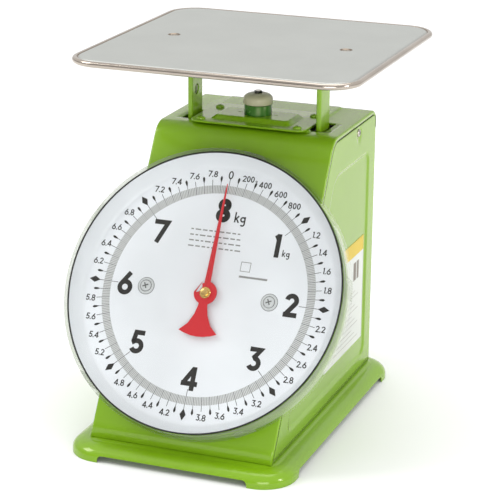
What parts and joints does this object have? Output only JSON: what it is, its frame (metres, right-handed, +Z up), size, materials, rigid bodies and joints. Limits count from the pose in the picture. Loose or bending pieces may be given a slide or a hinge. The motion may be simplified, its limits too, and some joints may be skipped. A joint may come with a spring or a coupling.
{
  "type": "mechanical dial platform scale",
  "caption": "Green enamelled mechanical dial platform scale: square steel pan on two posts, leaning round dial with a red pointer, a zero-adjust knob and a low tray base.",
  "frame": {"origin": "middle of the overall footprint, on the surface that the four feet rest on", "axes": "+Z up, out of the pan; -Y out of the front, towards the dial's reader; +X to the right seen from the front"},
  "size_m": [0.24, 0.3034, 0.308],
  "materials": {
    "green_paint": "gloss",
    "zinc_plate": "satin",
    "bright_steel": "polished",
    "pan_steel": "fine brushed",
    "label_film": "semi-gloss film",
    "dial_white": "satin",
    "dial_screw_grey": "satin",
    "black_rubber": "matte",
    "clear_cover": "clear, gloss",
    "brass": "satin",
    "pointer_red": "satin",
    "ivory_plastic": "semi-gloss",
    "dark_nut": "blackened",
    "spring_wire": "oiled",
    "aluminium": "satin",
    "black_plastic": "matte"
  },
  "bodies": {
    "root": {"base_tray": "green_paint", "case_front": "green_paint", "side_panel_left": "green_paint", "side_panel_right": "green_paint", "back_panel": "green_paint", "case_screws": "zinc_plate", "side_screws": "bright_steel", "side_label": "label_film", "top_cover_plate": "green_paint", "cover_screws": "green_paint", "dial_back_plate": "green_paint", "dial_standoffs": "zinc_plate", "dial_plate": "dial_white", "dial_screws": "dial_screw_grey", "dial_seal_ring": "black_rubber", "dial_cover": "clear_cover", "movement_front_plate": "brass", "movement_rear_plate": "brass", "movement_pillars": "zinc_plate", "movement_screws": "zinc_plate", "frame_cheek_left": "zinc_plate", "frame_cheek_right": "zinc_plate", "frame_bridge": "zinc_plate", "frame_tie_bars": "bright_steel", "frame_screws": "zinc_plate", "zero_bushing": "brass", "knob_cup": "green_paint", "knob_seal_screw": "green_paint", "spring_hanger": "zinc_plate", "main_spring_left": "spring_wire", "main_spring_right": "spring_wire", "dashpot_cylinder": "aluminium", "dashpot_cap": "black_plastic", "stop_bumpers": "black_rubber"},
    "carrier": {"carrier_bar": "zinc_plate", "post_left": "green_paint", "post_right": "green_paint", "pan_bracket": "zinc_plate", "pan": "pan_steel", "pan_screws": "bright_steel", "pivot_pins": "bright_steel", "rack_bridge": "zinc_plate", "rack_arm": "zinc_plate", "rack": "bright_steel", "dashpot_rod": "bright_steel"},
    "pointer_train": {"pinion_shaft": "bright_steel", "pinion": "brass", "pointer": "pointer_red", "pointer_boss": "brass"},
    "upper_link": {"upper_axle": "bright_steel", "upper_arm_left": "zinc_plate", "upper_arm_right": "zinc_plate"},
    "lower_link": {"lower_axle": "bright_steel", "lower_arm_left": "zinc_plate", "lower_arm_right": "zinc_plate"},
    "zero_knob": {"zero_knob_cap": "ivory_plastic", "zero_knob_nut": "dark_nut", "zero_screw": "bright_steel"}
  },
  "joints": [
    {"name": "platform_travel", "type": "slide", "parent": "root", "child": "carrier", "axis": [0, 0, -1], "range_m": [0, 0.0183], "stiffness_N_per_m": 4288, "springref_m": -0.0035, "deforming": ["main_spring_left", "main_spring_right"]},
    {"name": "pointer_turn", "type": "hinge", "parent": "root", "child": "pointer_train", "pos_m": [0, -0.06961, 0.1215], "axis": [0, 0.8572, -0.515], "range_deg": [0, 359.8]},
    {"name": "upper_arm_swing", "type": "hinge", "parent": "root", "child": "upper_link", "pos_m": [0, 0.094, 0.204], "axis": [1, 0, 0], "range_deg": [0, 17.4]},
    {"name": "lower_arm_swing", "type": "hinge", "parent": "root", "child": "lower_link", "pos_m": [0, 0.094, 0.06], "axis": [1, 0, 0], "range_deg": [0, 17.4]},
    {"name": "zero_knob_turn", "type": "hinge", "parent": "root", "child": "zero_knob", "pos_m": [0, 0.034, 0.263], "axis": [0, 0, 1], "range_deg": [-360, 360]}
  ],
  "couplings": [
    {"joint": "pointer_turn", "follows": "platform_travel", "rad_per_m": 342.87},
    {"joint": "upper_arm_swing", "follows": "platform_travel", "rad_per_m": 16.539},
    {"joint": "lower_arm_swing", "follows": "platform_travel", "rad_per_m": 16.539}
  ]
}
